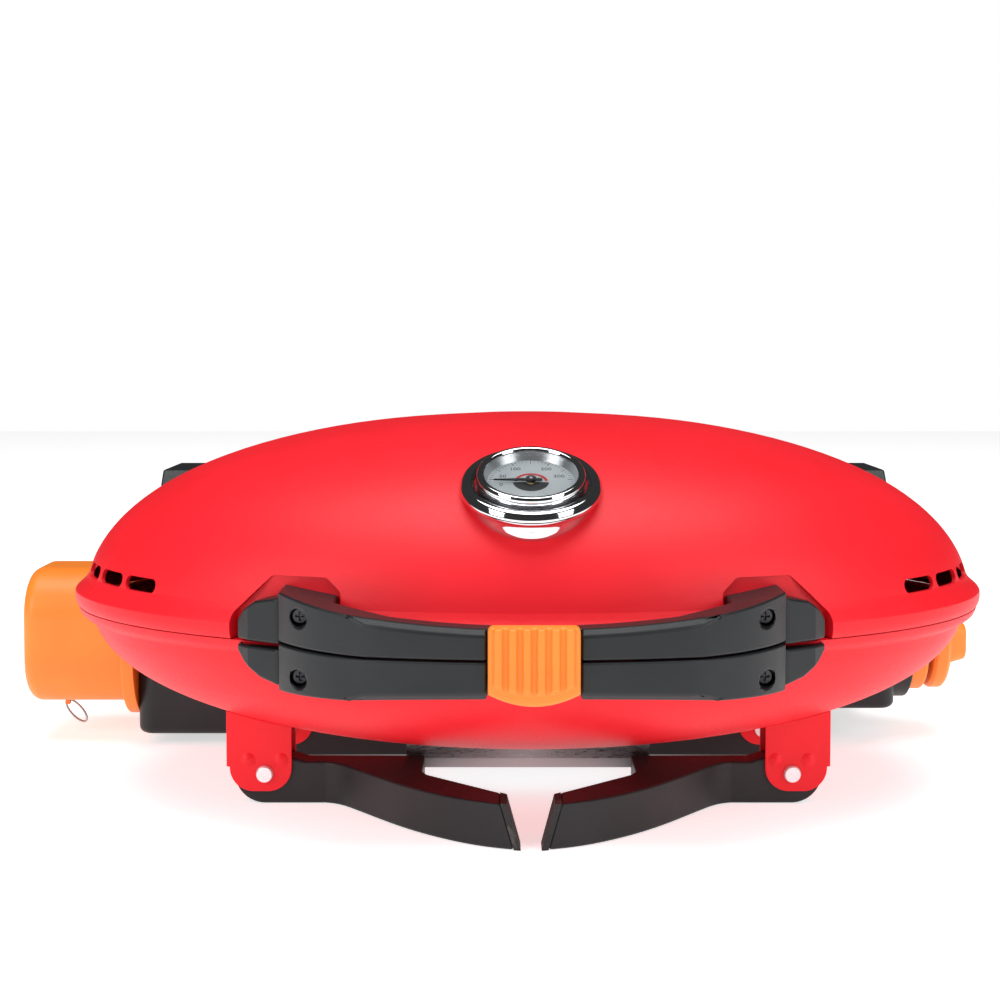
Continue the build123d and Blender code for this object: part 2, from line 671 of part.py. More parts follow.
def rear_screw(seat, tip, z):
    """Pan-head screw that enters from the back."""
    screw = round_y(4.0, seat, seat + 2.6, HINGE_X, z) + round_y(2.0, tip, seat, HINGE_X, z)
    return both_sides(screw)


# ---------------------------------------------------------------- rear housings and stands

def housing(outer, bottom, side):
    """Hollow moulding under a rear corner, hollowed out where the firebox passes through it."""
    low_x, high_x = sorted((side * HOUSING_INNER, side * outer))
    shell = slab(low_x, high_x, HOUSING_FRONT, HOUSING_BACK, bottom, HOUSING_TOP)
    shell = fillet(shell.edges().filter_by(Axis.Z), 12)
    shell = fillet(shell.faces().sort_by(Axis.Z)[0].edges(), 5)
    wall = HOUSING_WALL
    inside = slab(low_x + wall, high_x - wall, HOUSING_FRONT + wall, HOUSING_BACK - wall,
                  bottom + wall, HOUSING_TOP - wall)
    inside = fillet(inside.edges().filter_by(Axis.Z), 9)
    pipe = round_x(PIPE_RADIUS + 1.5, min(side * 130, side * 150), max(side * 130, side * 150),
                   PIPE_Y, CARTRIDGE_Z)
    return shell - inside - pipe


def left_housing():
    box = housing(FLANGE_X, PARTING - 113, -1)
    bore = round_x(16, -290, -FLANGE_X + 5, CARTRIDGE_Y, CARTRIDGE_Z)
    return box - [bore, BOWL]


def right_housing():
    box = housing(RIGHT_OUTER, PARTING - 94.6, 1)
    boss = round_x(44, RIGHT_OUTER, COLLAR_X, CARTRIDGE_Y, KNOB_Z)
    boss -= slab(RIGHT_OUTER - 5, COLLAR_X + 5, 0, 300, HOUSING_TOP, 300)
    bore = round_x(9, RIGHT_OUTER - 10, COLLAR_X + 5, CARTRIDGE_Y, KNOB_Z)
    burner = round_x(BURNER_RADIUS + 1, 130, 150, BURNER_Y, BURNER_Z)
    return box + boss - [bore, burner, BOWL]


def rear_stand(side):
    """Upright ear behind the lid; both ears are the feet that the grill stands on when upended."""
    def outline(inset):
        back = HOUSING_BACK - inset
        top = STAND_TOP - inset
        reach = SWING_CLEARANCE - inset
        points = []
        for height in (top, PARTING + 34 - inset / 2, HOUSING_TOP + inset):
            rise = height - HINGE_Z
            points.append((HINGE_Y - math.sqrt(reach ** 2 - rise ** 2), height))
        arc = ThreePointArc(*points)
        rest = Polyline(points[2], (back, HOUSING_TOP + inset), (back, top - 12), (back - 12, top),
                        points[0])
        return make_face([arc, rest])
    ear = extrude(Plane.YZ * outline(0), amount=STAND_THICK)
    pocket = extrude(Plane.YZ * outline(3), amount=STAND_THICK)
    ear = ear - pocket.moved(Pos(-3, 0, 0))
    ear = ear.moved(Pos(STAND_OUTER - STAND_THICK, 0, 0))
    return ear if side > 0 else mirror(ear, Plane.YZ)


def rear_beam():
    """Hollow cross beam that joins the housings and covers the gas pipe."""
    reach = HOUSING_INNER
    tube = slab(-reach, reach, 193, 221, PARTING - 60, PARTING - 29)
    hollow = slab(-reach - 1, reach + 1, 195.5, 218.5, PARTING - 57.5, PARTING - 31.5)
    return tube - hollow


# ---------------------------------------------------------------- gas parts

def regulator_body():
    """Regulator in the left housing, its nose threaded for the cartridge."""
    drum = round_x(22, -266, -244, CARTRIDGE_Y, CARTRIDGE_Z)
    nose = round_x(15.9, -290, -266, CARTRIDGE_Y, CARTRIDGE_Z)
    outlet = round_x(7, -244, -232, CARTRIDGE_Y, CARTRIDGE_Z)
    thread = round_x(5.56, -291, -274, CARTRIDGE_Y, CARTRIDGE_Z)
    return drum + nose + outlet - thread


def cap_block(inset, end, mouth):
    """Block along X with the cap's rounded square section."""
    size = 2 * (CAP_HALF - inset)
    section = Plane.YZ * Pos(CARTRIDGE_Y, CARTRIDGE_Z) * RectangleRounded(size, size, CAP_CORNER - inset)
    return extrude(section, amount=mouth - end).moved(Pos(end, 0, 0))


def cartridge_flange():
    """Coloured flange with the spigot that the cap pushes on to."""
    outer = CAP_MOUTH + 0.5
    plate = cap_block(-9, outer, -FLANGE_X)
    plate = fillet(plate.edges().filter_by(Plane.YZ).group_by(Axis.X)[0], 2)
    spigot = cap_block(CAP_WALL + 0.5, outer - 9, outer) - cap_block(CAP_WALL + 3.5, outer - 10, outer)
    return plate + spigot - [round_x(16, -300, -200, CARTRIDGE_Y, CARTRIDGE_Z), BOWL]


def cartridge_cap():
    """Deep cap over the cartridge socket, a rounded square in section."""
    blank = cap_block(0, CAP_END, CAP_MOUTH)
    blank = fillet(blank.edges().filter_by(Plane.YZ).group_by(Axis.X)[0], 9)
    hollow = cap_block(CAP_WALL, CAP_END + CAP_WALL, CAP_MOUTH + 1)
    hollow = fillet(hollow.edges().filter_by(Plane.YZ).group_by(Axis.X)[0], 6)
    pin_z = CARTRIDGE_Z - LOOP_DROP
    fork = round_y(EYE_PIN_RADIUS, CARTRIDGE_Y - 1.6, CARTRIDGE_Y + 1.6, LOOP_X, pin_z)
    for inner in (CARTRIDGE_Y - 2.1, CARTRIDGE_Y + 1.1):
        fork += slab(LOOP_X - 1.6, LOOP_X + 1.6, inner, inner + 1, pin_z - 1.6, CARTRIDGE_Z - CAP_HALF + 1)
    return blank - hollow + fork


def cap_wire_loop():
    """Small pull ring of bent wire that hangs on the pin of the cap's fork."""
    half_length = 10.5
    lean = 48.0
    swing = math.radians(lean)
    reach = half_length - WIRE_RADIUS - EYE_PIN_RADIUS - 0.1
    centre_x = LOOP_X + reach * math.cos(swing)
    centre_z = CARTRIDGE_Z - LOOP_DROP - reach * math.sin(swing)
    ring = Ellipse(half_length, 4.2).edge()
    route = Pos(centre_x, CARTRIDGE_Y, centre_z) * Rot(0, lean, 0) * Rot(90, 0, 0) * ring
    start = Plane(origin=route @ 0, z_dir=route % 0)
    return sweep(start * Circle(WIRE_RADIUS), path=route)


def gas_pipe():
    """Pipe from the regulator, through the rear beam, to the back of the valve."""
    z = CARTRIDGE_Z
    route = FilletPolyline((-232, CARTRIDGE_Y, z), (-206, CARTRIDGE_Y, z), (-206, PIPE_Y, z),
                           (243, PIPE_Y, z), (243, CARTRIDGE_Y + 15, z), radius=20)
    ring = Circle(PIPE_RADIUS) - Circle(PIPE_RADIUS - 1)
    return sweep(Plane(origin=route @ 0, z_dir=route % 0) * ring, path=route)


def valve_body():
    """Tap with the jet that faces the burner's mouth."""
    block = slab(230, 256, CARTRIDGE_Y - 15, CARTRIDGE_Y + 15, KNOB_Z - 15, KNOB_Z + 15)
    snout = slab(224, 230, BURNER_Y - 6, BURNER_Y + 12, KNOB_Z - 6, KNOB_Z + 6)
    jet = round_x(3, 218, 224, BURNER_Y, KNOB_Z)
    spark_unit = round_x(6, 236, 250, CARTRIDGE_Y, KNOB_Z - 20)
    stem_bore = round_x(4 + RUNNING, 235, 257, CARTRIDGE_Y, KNOB_Z)
    return block + snout + jet + spark_unit - stem_bore


def valve_stem():
    return round_x(4, 240, KNOB_X + 10, CARTRIDGE_Y, KNOB_Z)


def knob_collar():
    """Coloured collar round the knob's foot."""
    profile = make_face(Polyline((COLLAR_X, 26), (COLLAR_X, 38.5), (KNOB_X - 5, 38.5), (KNOB_X - 3.5, 37),
                                 (KNOB_X - 3.5, 26), close=True))
    return Pos(0, CARTRIDGE_Y, KNOB_Z) * revolve(profile, Axis.X)


def control_knob():
    """Round knob with a flared skirt and a tapered grip bar."""
    face = KNOB_X + 13.5
    outline = Polyline((KNOB_X, 0), (KNOB_X, 35.5), (KNOB_X + 2.5, 37.5), (face - 3.5, 37.5),
                       (face - 1, 35), (face, 0), close=True)
    disc = revolve(make_face(outline), Axis.X)
    bar = loft([Plane.YZ.offset(face - 1) * RectangleRounded(60, 33, 10),
                Plane.YZ.offset(face + 12) * RectangleRounded(54, 26, 8)])
    bar = fillet(bar.faces().sort_by(Axis.X)[-1].edges(), 2.5)
    bore = round_x(4 + RUNNING, KNOB_X - 2, KNOB_X + 11, 0, 0)
    return Pos(0, CARTRIDGE_Y, KNOB_Z) * (disc + bar - bore)


# ---------------------------------------------------------------- all the pieces

def all_parts():
    parts = {
        "base_bowl": base_bowl(),
        "lid_shell": lid_shell(),
        "cooking_grate_left": cooking_grate(-1),
        "cooking_grate_right": cooking_grate(1),
        "grate_rests": grate_rests(),
        "burner_tube": burner_tube(),
        "burner_brackets": burner_brackets(),
        "igniter_insulator": igniter_insulator(),
        "igniter_pin": igniter_pin(),
        "ignition_wire": ignition_wire(),
        "drip_tray": drip_tray(),
        "tray_rails": tray_rails(),
        "lid_handle": lid_handle(),
        "base_handle": base_handle(),
        "lid_handle_wings": lid_handle_wings(),
        "base_handle_wings": base_handle_wings(),
        "lid_handle_screws": handle_screws(LID_SCREW_Z),
        "base_handle_screws": handle_screws(BASE_SCREW_Z),
        "latch": latch(),
        "latch_pin": latch_pin(),
        "latch_spring": latch_spring(),
        "thermometer_ring": thermometer_ring(),
        "thermometer_bezel": thermometer_bezel(),
        "thermometer_case": thermometer_case(),
        "thermometer_dial": thermometer_dial(),
        "thermometer_lens": thermometer_lens(),
        "thermometer_needle": thermometer_needle(),
        "thermometer_nut": thermometer_nut(),
        "lid_hinge_leaves": lid_hinge_leaves(),
        "base_hinge_leaves": base_hinge_leaves(),
        "hinge_pins": hinge_pins(),
        "lid_hinge_screws": rear_screw(174.5, 156, PARTING + 52),
        "base_hinge_screws": rear_screw(179, 160, PARTING - 33),
        "left_housing": left_housing(),
        "right_housing": right_housing(),
        "left_stand": rear_stand(-1),
        "right_stand": rear_stand(1),
        "rear_beam": rear_beam(),
        "regulator_body": regulator_body(),
        "cartridge_flange": cartridge_flange(),
        "cartridge_cap": cartridge_cap(),
        "cap_wire_loop": cap_wire_loop(),
        "gas_pipe": gas_pipe(),
        "valve_body": valve_body(),
        "valve_stem": valve_stem(),
        "knob_collar": knob_collar(),
        "control_knob": control_knob(),
    }
    bracket = leg_bracket()
    arm = leg()
    pad = foot_pad()
    rivets = Part()
    for end in ("front", "rear"):
        for side in ("left", "right"):
            corner = f"{end}_{side}"
            parts[f"leg_bracket_{corner}"] = at_corner(bracket, side, end)
            parts[f"leg_{corner}"] = at_corner(arm, side, end)
            parts[f"foot_pad_{corner}"] = at_corner(pad, side, end)
            rivets += at_corner(leg_rivet(), side, end)
    parts["leg_rivets"] = rivets
    return parts


os.makedirs("parts", exist_ok=True)
for name, shape in all_parts().items():
    shape.label = name
    export_step(shape, f"parts/{name}.step")
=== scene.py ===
import json
import math

import bmesh
import bpy
from mathutils import Matrix, Vector
from mathutils.bvhtree import BVHTree


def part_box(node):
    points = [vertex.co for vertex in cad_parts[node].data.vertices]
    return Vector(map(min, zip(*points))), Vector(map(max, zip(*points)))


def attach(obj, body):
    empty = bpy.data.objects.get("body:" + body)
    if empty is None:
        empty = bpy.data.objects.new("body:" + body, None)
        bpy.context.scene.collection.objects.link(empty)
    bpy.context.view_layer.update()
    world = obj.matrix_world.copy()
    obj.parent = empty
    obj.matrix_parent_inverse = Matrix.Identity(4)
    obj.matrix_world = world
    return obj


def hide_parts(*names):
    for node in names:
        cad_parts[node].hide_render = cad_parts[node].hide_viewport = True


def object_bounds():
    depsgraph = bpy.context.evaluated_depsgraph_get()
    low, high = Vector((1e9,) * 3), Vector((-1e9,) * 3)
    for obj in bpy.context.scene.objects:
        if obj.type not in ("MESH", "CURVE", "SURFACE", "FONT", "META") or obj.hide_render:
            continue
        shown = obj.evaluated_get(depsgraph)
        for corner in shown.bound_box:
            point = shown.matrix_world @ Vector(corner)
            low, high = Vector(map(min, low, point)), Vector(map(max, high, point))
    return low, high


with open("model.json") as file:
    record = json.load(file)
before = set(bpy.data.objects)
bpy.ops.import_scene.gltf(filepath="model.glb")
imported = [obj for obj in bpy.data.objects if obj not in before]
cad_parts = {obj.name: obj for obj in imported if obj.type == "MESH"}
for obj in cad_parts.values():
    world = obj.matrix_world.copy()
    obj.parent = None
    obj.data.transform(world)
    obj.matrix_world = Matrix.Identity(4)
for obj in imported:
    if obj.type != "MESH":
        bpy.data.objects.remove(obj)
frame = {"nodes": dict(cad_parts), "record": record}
cad_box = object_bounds()

MM = 0.001


# ---------------------------------------------------------------- material helpers

def node(tree, kind, **values):
    """Add a shader node and set its properties."""
    new = tree.nodes.new(kind)
    for name, value in values.items():
        setattr(new, name, value)
    return new


def place(tree, stretch=(1, 1, 1)):
    """Object coordinates, stretched for brushed or rolled surfaces."""
    source = node(tree, "ShaderNodeTexCoord")
    mapping = node(tree, "ShaderNodeMapping")
    mapping.inputs["Scale"].default_value = stretch
    tree.links.new(source.outputs["Object"], mapping.inputs["Vector"])
    return mapping.outputs["Vector"]


def noise(tree, where, size, detail=2.0, distortion=0.0):
    """Noise whose features are about as large as size, in metres."""
    texture = node(tree, "ShaderNodeTexNoise")
    texture.inputs["Scale"].default_value = 1 / size
    texture.inputs["Detail"].default_value = detail
    texture.inputs["Distortion"].default_value = distortion
    tree.links.new(where, texture.inputs["Vector"])
    return texture.outputs["Fac"]


def spread(tree, value, start, end, low=0.0, high=1.0):
    """Stretch the part of a value between start and end to low and high."""
    ramp = node(tree, "ShaderNodeMapRange")
    ramp.inputs["From Min"].default_value = start
    ramp.inputs["From Max"].default_value = end
    ramp.inputs["To Min"].default_value = low
    ramp.inputs["To Max"].default_value = high
    tree.links.new(value, ramp.inputs["Value"])
    return ramp.outputs["Result"]


def combine(tree, operation, a, b):
    """One arithmetic step on two values."""
    step = node(tree, "ShaderNodeMath", operation=operation)
    for socket, value in zip(step.inputs, (a, b)):
        if isinstance(value, (int, float)):
            socket.default_value = value
        else:
            tree.links.new(value, socket)
    return step.outputs[0]


def blend_colour(tree, factor, first, second):
    """Colour that goes from the first to the second with the factor."""
    mix = node(tree, "ShaderNodeMix", data_type="RGBA")
    tree.links.new(factor, mix.inputs["Factor"])
    for socket, colour in ((mix.inputs[6], first), (mix.inputs[7], second)):
        if isinstance(colour, tuple):
            socket.default_value = (*colour, 1)
        else:
            tree.links.new(colour, socket)
    return mix.outputs[2]


def surface(name, colour, shade, scuff, rough, grain, depth, stretch=(1, 1, 1), wear=0.66, **sockets):
    """Cloudy colour, fine grain and scattered scuffs on one principled shader."""
    material = bpy.data.materials.new(name)
    material.use_nodes = True
    tree = material.node_tree
    shader = tree.nodes["Principled BSDF"]
    where = place(tree, stretch)
    clouds = spread(tree, noise(tree, where, 0.07, 3), 0.35, 0.65)
    fine = noise(tree, where, grain, 2)
    marks = spread(tree, noise(tree, where, 0.012, 6, 0.6), wear, wear + 0.1)
    tint = blend_colour(tree, clouds, colour, shade)
    tree.links.new(blend_colour(tree, marks, tint, scuff), shader.inputs["Base Color"])
    low, high = rough
    base = spread(tree, fine, 0.3, 0.7, low, high)
    worn = combine(tree, "MULTIPLY", marks, 0.12)
    tree.links.new(combine(tree, "ADD", base, worn), shader.inputs["Roughness"])
    bump = node(tree, "ShaderNodeBump")
    bump.inputs["Distance"].default_value = depth
    bump.inputs["Strength"].default_value = 1.0
    tree.links.new(fine, bump.inputs["Height"])
    tree.links.new(bump.outputs["Normal"], shader.inputs["Normal"])
    for socket, value in sockets.items():
        shader.inputs[socket.replace("_", " ")].default_value = value
    return material


def red_enamel():
    return surface("red_enamel", (0.80, 0.008, 0.018), (0.74, 0.006, 0.014), (0.84, 0.03, 0.03),
                   (0.40, 0.54), 0.0011, 0.000012, wear=0.76, Specular_IOR_Level=0.32)


def black_plastic():
    return surface("black_plastic", (0.009, 0.0105, 0.012), (0.014, 0.0155, 0.017), (0.04, 0.042, 0.044),
                   (0.36, 0.52), 0.0007, 0.00003, wear=0.72, Specular_IOR_Level=0.35)


def orange_plastic():
    return surface("orange_plastic", (0.90, 0.235, 0.018), (0.83, 0.20, 0.014), (0.90, 0.32, 0.08),
                   (0.36, 0.48), 0.0009, 0.000015, wear=0.74)


def black_paint():
    return surface("black_paint", (0.015, 0.015, 0.016), (0.022, 0.022, 0.023), (0.16, 0.15, 0.14),
                   (0.32, 0.44), 0.001, 0.00002, wear=0.70)


def dark_steel():
    return surface("dark_steel", (0.05, 0.05, 0.055), (0.08, 0.08, 0.085), (0.25, 0.24, 0.23),
                   (0.28, 0.42), 0.0006, 0.00001, wear=0.64, Metallic=1.0)


def steel():
    return surface("steel", (0.46, 0.46, 0.47), (0.38, 0.38, 0.39), (0.28, 0.25, 0.22),
                   (0.24, 0.40), 0.0007, 0.00001, stretch=(0.15, 1, 1), wear=0.64, Metallic=1.0)


def rivet_zinc():
    return surface("rivet_zinc", (0.86, 0.87, 0.88), (0.76, 0.77, 0.79), (0.58, 0.57, 0.55),
                   (0.26, 0.40), 0.0005, 0.00001, wear=0.66, Metallic=0.55)


def chrome():
    return surface("chrome", (0.74, 0.75, 0.76), (0.68, 0.69, 0.71), (0.52, 0.53, 0.56),
                   (0.035, 0.09), 0.004, 0.000004, wear=0.72, Metallic=1.0)


def dial_face():
    return surface("dial_face", (0.60, 0.63, 0.64), (0.52, 0.55, 0.57), (0.42, 0.44, 0.45),
                   (0.38, 0.50), 0.0005, 0.000006, wear=0.74, Metallic=0.15)


def dial_print():
    return surface("dial_print", (0.02, 0.022, 0.026), (0.035, 0.036, 0.04), (0.08, 0.08, 0.08),
                   (0.45, 0.55), 0.0005, 0.000004, wear=0.74)


def dial_red():
    return surface("dial_red", (0.62, 0.02, 0.02), (0.52, 0.018, 0.016), (0.4, 0.05, 0.04),
                   (0.42, 0.52), 0.0005, 0.000004, wear=0.74)


def clear_glass():
    return surface("clear_glass", (0.97, 0.985, 0.99), (0.95, 0.97, 0.98), (0.88, 0.90, 0.92),
                   (0.0, 0.02), 0.02, 0.0000005, wear=0.76, Transmission_Weight=1.0, IOR=1.3)


def cast_iron():
    return surface("cast_iron", (0.022, 0.022, 0.023), (0.035, 0.034, 0.033), (0.10, 0.06, 0.04),
                   (0.55, 0.75), 0.0012, 0.00010, wear=0.64)


def aluminium_sheet():
    return surface("aluminium_sheet", (0.62, 0.63, 0.64), (0.57, 0.58, 0.59), (0.42, 0.40, 0.36),
                   (0.34, 0.42), 0.0008, 0.000004, stretch=(0.1, 1, 1), wear=0.72, Metallic=1.0)


def brass():
    return surface("brass", (0.66, 0.44, 0.16), (0.56, 0.36, 0.13), (0.34, 0.23, 0.12),
                   (0.24, 0.36), 0.0007, 0.00001, wear=0.66, Metallic=1.0)


def ceramic():
    return surface("ceramic", (0.82, 0.79, 0.73), (0.76, 0.72, 0.66), (0.52, 0.44, 0.36),
                   (0.18, 0.30), 0.001, 0.00001, wear=0.68)


def wire_sleeve():
    return surface("wire_sleeve", (0.03, 0.03, 0.03), (0.045, 0.045, 0.045), (0.10, 0.10, 0.10),
                   (0.42, 0.56), 0.0008, 0.00002, wear=0.70)


def black_rubber():
    return surface("black_rubber", (0.014, 0.014, 0.015), (0.022, 0.022, 0.022), (0.09, 0.085, 0.08),
                   (0.65, 0.85), 0.0008, 0.00008, wear=0.62)


LOOKS = {make.__name__: make() for make in (
    red_enamel, black_plastic, orange_plastic, black_paint, dark_steel, steel, rivet_zinc, chrome,
    dial_face, dial_print, dial_red, clear_glass, cast_iron, aluminium_sheet, brass, ceramic,
    wire_sleeve, black_rubber)}
LOOKS["needle_black"] = LOOKS["dial_print"]


# ---------------------------------------------------------------- frame nodes

# Rounding of the sharp edges of a CAD node, in millimetres, by the start of its name
EDGE_ROUNDING = {"lid_handle_wings": 1.6, "base_handle_wings": 1.6, "lid_handle_screws": 0.25,
                 "base_handle_screws": 0.25, "lid_handle": 1.4, "base_handle": 1.4, "leg_bracket": 0.5,
                 "leg_rivets": 0.3, "leg_": 1.6, "left_stand": 1.6,
                 "right_stand": 1.6, "left_housing": 1.2, "right_housing": 1.2, "control_knob": 1.0,
                 "knob_collar": 0.8, "cartridge_flange": 0.8, "drip_tray": 0.4, "rear_beam": 1.0,
                 "lid_hinge_leaves": 0.4, "base_hinge_leaves": 0.4, "cooking_grate": 0.7}


def round_edges(carried, width):
    """Join the CAD facets, merge the flat ones and round the sharp edges between them."""
    normals = carried.data.attributes.get("custom_normal")
    if normals:
        carried.data.attributes.remove(normals)
    weld = carried.modifiers.new("weld", "WELD")
    weld.merge_threshold = 0.00001
    flat = carried.modifiers.new("flat", "DECIMATE")
    flat.decimate_type = "DISSOLVE"
    flat.angle_limit = math.radians(0.5)
    bevel = carried.modifiers.new("bevel", "BEVEL")
    bevel.width = width * MM
    bevel.segments = 3
    bevel.angle_limit = math.radians(32)
    bevel.use_clamp_overlap = False
    bevel.harden_normals = True


def dress_frame():
    """Give every CAD node the look of its material slot, and rounded edges where they show."""
    for part in frame["record"]["subparts"]:
        name = part["node"]
        carried = frame["nodes"][name]
        carried.data.materials.clear()
        carried.data.materials.append(LOOKS[part["material_slot"]])
        width = next((w for start, w in EDGE_ROUNDING.items() if name.startswith(start)), 0)
        if width:
            round_edges(carried, width)


# ---------------------------------------------------------------- mesh helpers

def add_piece(name, build, look, body, at=Matrix.Identity(4), smooth=35.0):
    """Turn a bmesh into a smooth-shaded piece that rides on a body."""
    build.normal_update()
    for face in build.faces:
        face.smooth = True
    for edge in build.edges:
        edge.smooth = len(edge.link_faces) == 2 and edge.calc_face_angle() < math.radians(smooth)
    mesh = bpy.data.meshes.new(name)
    build.to_mesh(mesh)
    build.free()
    mesh.materials.append(LOOKS[look])
    piece = bpy.data.objects.new(name, mesh)
    piece.matrix_world = at
    bpy.context.collection.objects.link(piece)
    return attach(piece, body)


def lathe(profile, segments=128):
    """Closed outline of radius and height in millimetres, turned round Z."""
    build = bmesh.new()
    rings = []
    for step in range(segments):
        turn = 2 * math.pi * step / segments
        rings.append([build.verts.new((r * MM * math.cos(turn), r * MM * math.sin(turn), z * MM))
                      for r, z in profile])
    for step in range(segments):
        here, there = rings[step], rings[(step + 1) % segments]
        for k in range(len(profile)):
            nxt = (k + 1) % len(profile)
            build.faces.new((here[k], there[k], there[nxt], here[nxt]))
    bmesh.ops.recalc_face_normals(build, faces=build.faces)
    return build


def rounded(points, radius_steps=4):
    """Outline with its corners cut into short arcs by one pass of corner smoothing per step."""
    for _ in range(radius_steps):
        finer = []
        for k, here in enumerate(points):
            there = points[(k + 1) % len(points)]
            finer.append(tuple(0.8 * a + 0.2 * b for a, b in zip(here, there)))
            finer.append(tuple(0.2 * a + 0.8 * b for a, b in zip(here, there)))
        points = finer
    return points


def flat_ring(inner, outer, start, end, low, high, steps=48):
    """Part of a thin ring between two angles in degrees, radii and heights in millimetres."""
    build = bmesh.new()
    slices = []
    for step in range(steps + 1):
        turn = math.radians(start + (end - start) * step / steps)
        corners = [(inner, low), (outer, low), (outer, high), (inner, high)]
        slices.append([build.verts.new((r * MM * math.cos(turn), r * MM * math.sin(turn), z * MM))
                       for r, z in corners])
    for here, there in zip(slices, slices[1:]):
        for k in range(4):
            nxt = (k + 1) % 4
            build.faces.new((here[k], there[k], there[nxt], here[nxt]))
    build.faces.new(reversed(slices[0]))
    build.faces.new(slices[-1])
    bmesh.ops.recalc_face_normals(build, faces=build.faces)
    return build


# ---------------------------------------------------------------- thermometer

def joint(name):
    return next(j for j in frame["record"]["behaviour"]["joints"] if j["name"] == name)


def gauge_frame():
    """Frame of the thermometer: Z outwards from the lid, X to the right."""
    needle = joint("needle_turn")
    out = -Vector(needle["axis"]).normalized()
    up = out.cross(Vector((1, 0, 0)))
    turn = Matrix((Vector((1, 0, 0)), up, out)).transposed()
    return Matrix.Translation(Vector(needle["pos_m"])) @ turn.to_4x4()


NECK_TOP = -1.6          # heights in the gauge's frame, in millimetres
NECK_END = -14.0
NECK_SINK = 1.1          # how far the neck goes into the lid's wall


def sink_neck(build, at):
    """Shorten the neck of the gauge's ring so that it ends inside the lid's wall."""
    lid = bpy.data.objects["lid_shell"]
    to_gauge = at.inverted() @ lid.matrix_world
    wall = BVHTree.FromPolygons([to_gauge @ corner.co for corner in lid.data.vertices],
                                [face.vertices for face in lid.data.polygons])
    for corner in build.verts:
        if corner.co.z > NECK_TOP * MM:
            continue
        above = Vector((corner.co.x, corner.co.y, 5 * MM))
        outside = wall.ray_cast(above, Vector((0, 0, -1)))[0]
        foot = min(outside.z / MM - NECK_SINK, NECK_TOP - 0.2)
        share = (corner.co.z / MM - NECK_TOP) / (NECK_END - NECK_TOP)
        corner.co.z = (NECK_TOP + share * (foot - NECK_TOP)) * MM


def thermometer():
    """Polished outer ring, bezel and reflector, and the printed scale on the dial."""
    at = gauge_frame()
    ring = rounded([(33.2, NECK_END), (37.0, NECK_END), (37.0, -1.5), (41.2, -0.9), (41.6, 2.2),
                    (39.2, 5.8), (35.4, 6.6), (32.4, 3.6)], 3)
    build = lathe(ring)
    sink_neck(build, at)
    outer = add_piece("gauge_ring", build, "chrome", "lid", at)
    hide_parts("thermometer_ring")
    lip = rounded([(29.2, 5.0), (31.7, 5.0), (31.8, 9.4), (30.4, 11.4), (28.2, 11.3), (26.9, 9.8),
                   (29.2, 9.5)], 2)
    bezel = add_piece("gauge_bezel", lathe(lip), "chrome", "lid", at)
    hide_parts("thermometer_bezel")
    flare = lathe([(28.7, 3.65), (25.4, 3.65), (26.6, 5.4), (28.2, 7.9), (28.9, 7.9)])
    bowl = add_piece("gauge_reflector", flare, "aluminium_sheet", "lid", at)
    dial_scale(at)


PRINT = (3.6, 3.68)      # under side and top of the dial's print, in millimetres
TICKS = 41
TICK_STEP = 5.5          # degrees
TICK_END = 24.6
NUMBER_RADIUS = 17.6


def dial_scale(at):
    """Ticks, coloured arcs, numbers and hub on the dial."""
    ink = bmesh.new()
    for step in range(TICKS):
        turn = Matrix.Rotation(math.radians(-20 + TICK_STEP * step), 4, "Z")
        long = step % 5 == 0
        length, width = (3.0, 0.42) if long else (1.6, 0.22)
        shape = Matrix.Diagonal((length * MM, width * MM, 0.08 * MM, 1))
        spot = turn @ Matrix.Translation(((TICK_END - length / 2) * MM, 0, 3.63 * MM)) @ shape
        bmesh.ops.create_cube(ink, size=1, matrix=spot)
    ticks = add_piece("dial_ticks", ink, "dial_print", "lid", at)
    half = add_piece("dial_half_disc", flat_ring(0.9, 10.4, 182, 358, *PRINT), "dial_print", "lid", at)
    arc = add_piece("dial_red_arc", flat_ring(8.2, 10.0, 8, 172, *PRINT), "dial_red", "lid", at)
    washer = lathe([(1.0, 3.6), (2.6, 3.6), (2.4, 4.4), (1.0, 4.5)], 48)
    hub = add_piece("dial_hub", washer, "brass", "lid", at)
    for text, degrees in (("0", 190), ("50", 158), ("100", 121), ("200", 59), ("300", 22)):
        curve = bpy.data.curves.new(f"dial_number_{text}", "FONT")
        curve.body = text
        curve.size = 4.4 * MM
        curve.extrude = 0.04 * MM
        curve.align_x = "CENTER"
        curve.align_y = "CENTER"
        curve.materials.append(LOOKS["dial_print"])
        number = bpy.data.objects.new(curve.name, curve)
        turn = math.radians(degrees)
        reach = NUMBER_RADIUS * MM
        spot = Vector((reach * math.cos(turn), reach * math.sin(turn), 3.65 * MM))
        number.matrix_world = at @ Matrix.Translation(spot)
        bpy.context.collection.objects.link(number)
        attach(number, "lid")


# ---------------------------------------------------------------- latch

LATCH_HALF = 24.3
LATCH_FRONT = -254.0
LATCH_BACK = -247.2
EAR_X = 16.5
RIB_PITCH = 7.5
RIBS = 6


def rib_rise(x, share):
    """How far the ribs stand out of the latch at a place, in millimetres."""
    nearest = min(abs(x - (k - (RIBS - 1) / 2) * RIB_PITCH) for k in range(RIBS))
    fade = min(1.0, max(0.0, (share - 0.14) / 0.05), max(0.0, (0.995 - share) / 0.03))
    return 2.2 * fade * math.sqrt(max(0.0, 1 - (nearest / 2.5) ** 2))


def edge_drop(distance, radius):
    """How far a rounded edge falls back at a distance from the rim, in millimetres."""
    if distance >= radius:
        return 0.0
    return radius - math.sqrt(radius ** 2 - (radius - distance) ** 2)


